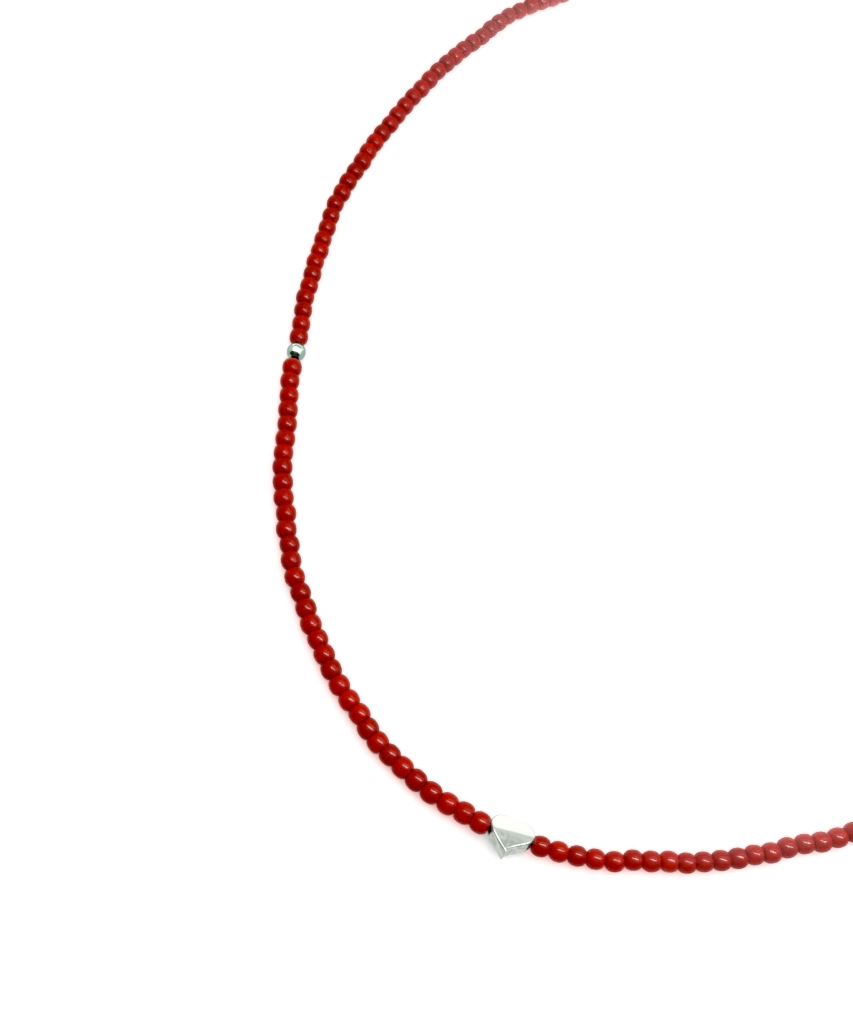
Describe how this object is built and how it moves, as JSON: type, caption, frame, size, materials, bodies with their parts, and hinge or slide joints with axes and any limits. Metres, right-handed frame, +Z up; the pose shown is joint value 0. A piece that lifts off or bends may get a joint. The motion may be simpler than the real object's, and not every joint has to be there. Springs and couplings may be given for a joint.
{
  "type": "heart necklace",
  "caption": "Beaded necklace laid flat in a loop, with a small metal heart bead at the front, round metal beads beside it and a plain clasp at the back.",
  "frame": {"origin": "on the surface that the necklace lies on, under the middle of its own box", "axes": "+Z up from the surface, -Y towards the heart at the front, +Y towards the clasp at the back"},
  "size_m": [0.1148, 0.164, 0.0041],
  "materials": {
    "red_glass": "glossy translucent deep red glass",
    "polished_silver": "polished silver",
    "satin_silver": "satin silver with fine scratches",
    "clasp_silver": "satin silver",
    "thread": "dark nylon thread"
  },
  "bodies": {
    "root": {"beads_left": "red_glass", "beads_right": "red_glass", "round_bead_left": "polished_silver", "round_bead_right": "polished_silver", "heart_bead": "satin_silver", "clasp": "clasp_silver", "thread": "thread"}
  },
  "joints": []
}
